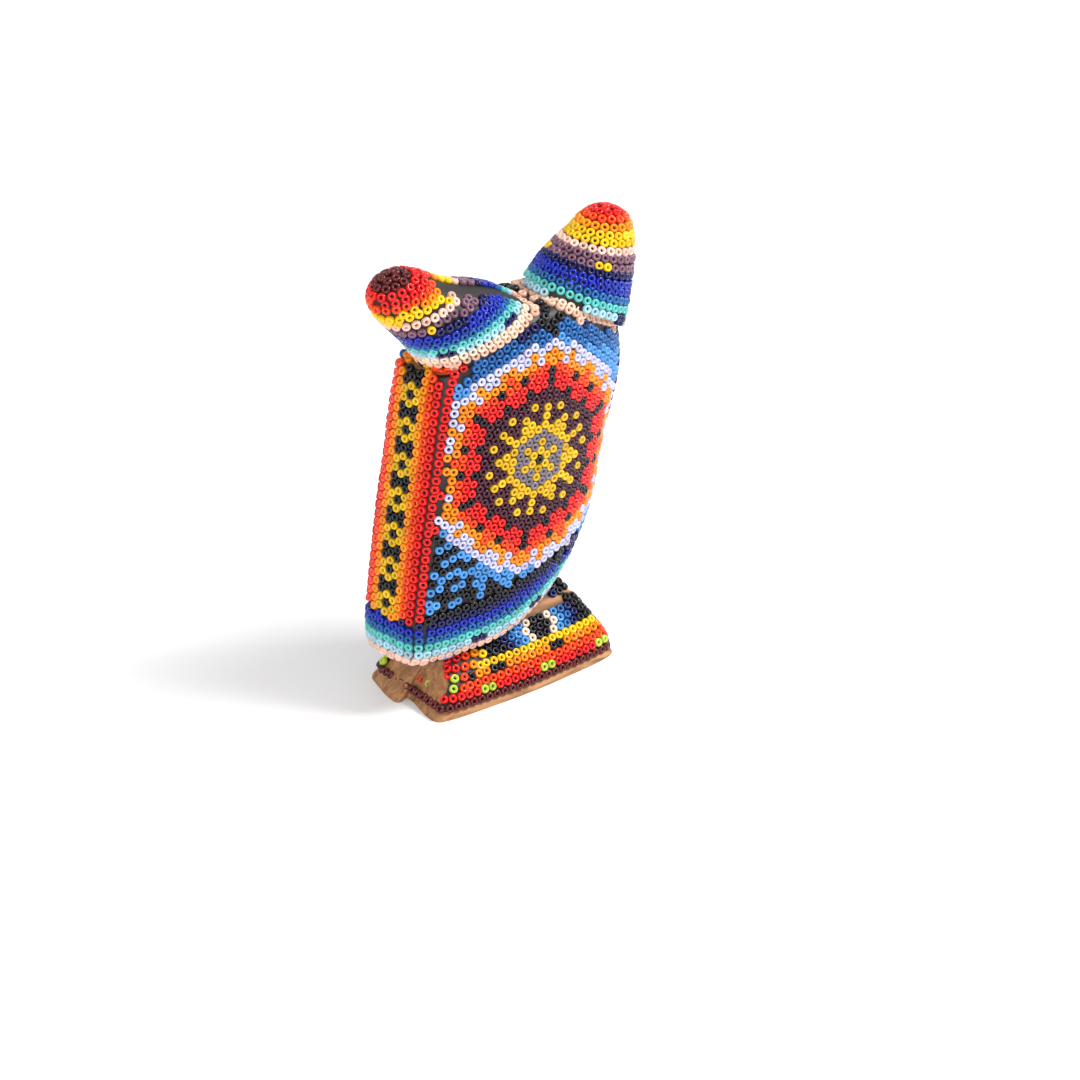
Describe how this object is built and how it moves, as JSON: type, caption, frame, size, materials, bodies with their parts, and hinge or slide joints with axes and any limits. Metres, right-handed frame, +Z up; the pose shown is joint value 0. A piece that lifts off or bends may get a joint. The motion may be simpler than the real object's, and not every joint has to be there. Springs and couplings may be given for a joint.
{
  "type": "beaded carved figure",
  "caption": "Small carved wooden figure on a hipped base, covered with colourful glass seed beads in a rosette, a flower strip and banded horns.",
  "frame": {"origin": "the middle of the flat underside of the base", "axes": "+Z up, +X from the narrow flower strip towards the rounded edge, -Y is the broad face seen from the front"},
  "size_m": [0.0709, 0.0304, 0.1071],
  "materials": {
    "beads_white": null,
    "beads_black": null,
    "beads_red": null,
    "beads_yellow": null,
    "beads_blue": null,
    "beads_cream": null,
    "beads_mauve": null,
    "beads_orange": null,
    "beads_aqua": null,
    "beads_sky": null,
    "wood": "stained reddish brown, bare and slightly rough",
    "wax": null
  },
  "bodies": {
    "root": {"beads_base_eyes": "beads_white", "beads_base_field": "beads_black", "beads_base_red": "beads_red", "beads_base_yellow": "beads_yellow", "beads_horn_left_blue": "beads_blue", "beads_horn_left_cream": "beads_cream", "beads_horn_left_mauve": "beads_mauve", "beads_horn_left_orange": "beads_orange", "beads_horn_left_red": "beads_red", "beads_horn_left_yellow": "beads_yellow", "beads_horn_right_blue": "beads_blue", "beads_horn_right_cream": "beads_cream", "beads_horn_right_mauve": "beads_mauve", "beads_horn_right_orange": "beads_orange", "beads_horn_right_red": "beads_red", "beads_horn_right_yellow": "beads_yellow", "beads_mandala_back_petals": "beads_orange", "beads_mandala_back_red": "beads_red", "beads_mandala_back_star": "beads_yellow", "beads_mandala_front_petals": "beads_orange", "beads_mandala_front_red": "beads_red", "beads_mandala_front_star": "beads_yellow", "beads_rim_dark": "beads_blue", "beads_rim_pale": "beads_aqua", "beads_round_edge": "beads_blue", "beads_saddle": "beads_black", "beads_sky_back": "beads_sky", "beads_sky_front": "beads_sky", "beads_strip_flowers": "beads_yellow", "beads_strip_orange": "beads_orange", "beads_strip_red": "beads_red", "beads_top_rows": "beads_cream", "carved_base": "wood", "carved_body": "wood", "carved_horn_left": "wood", "carved_horn_right": "wood", "wax_base": "wax", "wax_body": "wax", "wax_horn_left": "wax", "wax_horn_right": "wax"}
  },
  "joints": []
}
